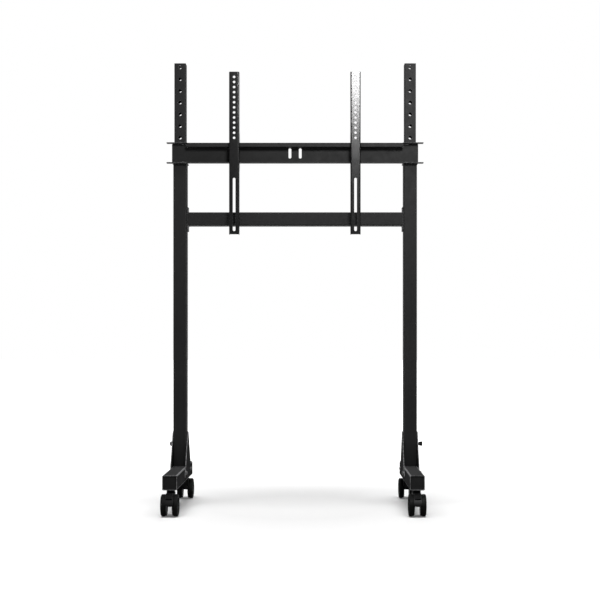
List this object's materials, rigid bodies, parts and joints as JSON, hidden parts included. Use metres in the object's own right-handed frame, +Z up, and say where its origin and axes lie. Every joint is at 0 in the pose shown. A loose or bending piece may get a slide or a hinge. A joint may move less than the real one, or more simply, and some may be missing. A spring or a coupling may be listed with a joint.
{
  "type": "monitor floor stand",
  "caption": "Rolling floor stand for a large monitor: two uprights on legs with casters, a height-adjustable bar on posts and two slotted screen brackets.",
  "frame": {"origin": "on the floor, midway between the legs and midway along them", "axes": "+Z up, +X to the right as seen from the screen side, +Y from the screen side to the back"},
  "size_m": [0.924, 0.557, 1.5935],
  "materials": {
    "powder_black": "satin black powder coat",
    "bracket_black": "satin black powder coat",
    "black_plastic": "moulded black plastic",
    "tyre_black": "black polyurethane tread",
    "dark_bolt": "black oxide steel",
    "zinc": "zinc plated steel"
  },
  "bodies": {
    "frame": {"leg_left": "powder_black", "leg_right": "powder_black", "leg_cap_front_left": "black_plastic", "leg_cap_front_right": "black_plastic", "leg_cap_rear_left": "black_plastic", "leg_cap_rear_right": "black_plastic", "upright_left": "powder_black", "upright_right": "powder_black", "post_left": "powder_black", "post_right": "powder_black", "cross_bar": "powder_black", "cross_screw_upper_left": "dark_bolt", "cross_screw_lower_left": "dark_bolt", "cross_screw_upper_right": "dark_bolt", "cross_screw_lower_right": "dark_bolt", "gusset_left_outer": "powder_black", "gusset_left_inner": "powder_black", "gusset_right_outer": "powder_black", "gusset_right_inner": "powder_black", "gusset_bolt_front_left": "dark_bolt", "gusset_bolt_rear_left": "dark_bolt", "gusset_bolt_front_right": "dark_bolt", "gusset_bolt_rear_right": "dark_bolt", "foot_bolt_left": "dark_bolt", "caster_front_left_stem": "zinc", "caster_front_right_stem": "zinc", "caster_rear_left_stem": "zinc", "caster_rear_right_stem": "zinc"},
    "foot_knob": {"foot_knob_right": "black_plastic"},
    "carriage": {"monitor_bar": "powder_black", "collar_left": "powder_black", "collar_right": "powder_black"},
    "height_lock_left": {"height_lock_left": "black_plastic"},
    "height_lock_right": {"height_lock_right": "black_plastic"},
    "bracket_left": {"bracket_left": "bracket_black"},
    "bracket_right": {"bracket_right": "bracket_black"},
    "bracket_lock_left": {"bracket_lock_left": "black_plastic"},
    "bracket_lock_right": {"bracket_lock_right": "black_plastic"},
    "caster_front_left": {"caster_front_left_body": "black_plastic", "caster_front_left_axle": "zinc"},
    "caster_front_right": {"caster_front_right_body": "black_plastic", "caster_front_right_axle": "zinc"},
    "caster_rear_left": {"caster_rear_left_body": "black_plastic", "caster_rear_left_axle": "zinc"},
    "caster_rear_right": {"caster_rear_right_body": "black_plastic", "caster_rear_right_axle": "zinc"},
    "wheel_front_left_outer": {"caster_front_left_wheel_outer": "tyre_black"},
    "wheel_front_left_inner": {"caster_front_left_wheel_inner": "tyre_black"},
    "wheel_front_right_outer": {"caster_front_right_wheel_outer": "tyre_black"},
    "wheel_front_right_inner": {"caster_front_right_wheel_inner": "tyre_black"},
    "wheel_rear_left_outer": {"caster_rear_left_wheel_outer": "tyre_black"},
    "wheel_rear_left_inner": {"caster_rear_left_wheel_inner": "tyre_black"},
    "wheel_rear_right_outer": {"caster_rear_right_wheel_outer": "tyre_black"},
    "wheel_rear_right_inner": {"caster_rear_right_wheel_inner": "tyre_black"},
    "brake_front_left": {"brake_lever_front_left": "black_plastic"},
    "brake_front_right": {"brake_lever_front_right": "black_plastic"}
  },
  "joints": [
    {"name": "height_slide", "type": "slide", "parent": "frame", "child": "carriage", "axis": [0, 0, 1], "range_m": [0, 0.2538]},
    {"name": "bracket_slide_left", "type": "slide", "parent": "carriage", "child": "bracket_left", "axis": [1, 0, 0], "range_m": [-0.1435, 0.1565]},
    {"name": "bracket_slide_right", "type": "slide", "parent": "carriage", "child": "bracket_right", "axis": [1, 0, 0], "range_m": [-0.1565, 0.1435]},
    {"name": "bracket_lock_turn_left", "type": "hinge", "parent": "bracket_left", "child": "bracket_lock_left", "pos_m": [-0.2165, 0.038, 1.2203], "axis": [0, 0, 1], "continuous": true},
    {"name": "bracket_lock_turn_right", "type": "hinge", "parent": "bracket_right", "child": "bracket_lock_right", "pos_m": [0.2165, 0.038, 1.2203], "axis": [0, 0, 1], "continuous": true},
    {"name": "height_lock_turn_left", "type": "hinge", "parent": "carriage", "child": "height_lock_left", "pos_m": [-0.4157, 0.0756, 1.2827], "axis": [0, 1, 0], "continuous": true},
    {"name": "height_lock_turn_right", "type": "hinge", "parent": "carriage", "child": "height_lock_right", "pos_m": [0.4157, 0.0756, 1.2827], "axis": [0, 1, 0], "continuous": true},
    {"name": "foot_knob_turn", "type": "hinge", "parent": "frame", "child": "foot_knob", "pos_m": [0.4157, 0.0756, 0.2185], "axis": [1, 0, 0], "continuous": true},
    {"name": "swivel_front_left", "type": "hinge", "parent": "frame", "child": "caster_front_left", "pos_m": [-0.4157, -0.212, 0.0865], "axis": [0, 0, 1], "continuous": true},
    {"name": "swivel_front_right", "type": "hinge", "parent": "frame", "child": "caster_front_right", "pos_m": [0.4157, -0.212, 0.0865], "axis": [0, 0, 1], "continuous": true},
    {"name": "swivel_rear_left", "type": "hinge", "parent": "frame", "child": "caster_rear_left", "pos_m": [-0.4157, 0.212, 0.0865], "axis": [0, 0, 1], "continuous": true},
    {"name": "swivel_rear_right", "type": "hinge", "parent": "frame", "child": "caster_rear_right", "pos_m": [0.4157, 0.212, 0.0865], "axis": [0, 0, 1], "continuous": true},
    {"name": "roll_front_left_outer", "type": "hinge", "parent": "caster_front_left", "child": "wheel_front_left_outer", "pos_m": [-0.4157, -0.24, 0.0375], "axis": [1, 0, 0], "continuous": true},
    {"name": "roll_front_left_inner", "type": "hinge", "parent": "caster_front_left", "child": "wheel_front_left_inner", "pos_m": [-0.4157, -0.24, 0.0375], "axis": [1, 0, 0], "continuous": true},
    {"name": "roll_front_right_outer", "type": "hinge", "parent": "caster_front_right", "child": "wheel_front_right_outer", "pos_m": [0.4157, -0.24, 0.0375], "axis": [1, 0, 0], "continuous": true},
    {"name": "roll_front_right_inner", "type": "hinge", "parent": "caster_front_right", "child": "wheel_front_right_inner", "pos_m": [0.4157, -0.24, 0.0375], "axis": [1, 0, 0], "continuous": true},
    {"name": "roll_rear_left_outer", "type": "hinge", "parent": "caster_rear_left", "child": "wheel_rear_left_outer", "pos_m": [-0.4157, 0.24, 0.0375], "axis": [1, 0, 0], "continuous": true},
    {"name": "roll_rear_left_inner", "type": "hinge", "parent": "caster_rear_left", "child": "wheel_rear_left_inner", "pos_m": [-0.4157, 0.24, 0.0375], "axis": [1, 0, 0], "continuous": true},
    {"name": "roll_rear_right_outer", "type": "hinge", "parent": "caster_rear_right", "child": "wheel_rear_right_outer", "pos_m": [0.4157, 0.24, 0.0375], "axis": [1, 0, 0], "continuous": true},
    {"name": "roll_rear_right_inner", "type": "hinge", "parent": "caster_rear_right", "child": "wheel_rear_right_inner", "pos_m": [0.4157, 0.24, 0.0375], "axis": [1, 0, 0], "continuous": true},
    {"name": "brake_press_front_left", "type": "hinge", "parent": "caster_front_left", "child": "brake_front_left", "pos_m": [-0.4157, -0.24, 0.0375], "axis": [1, 0, 0], "range_deg": [0, 15]},
    {"name": "brake_press_front_right", "type": "hinge", "parent": "caster_front_right", "child": "brake_front_right", "pos_m": [0.4157, -0.24, 0.0375], "axis": [1, 0, 0], "range_deg": [0, 15]}
  ]
}
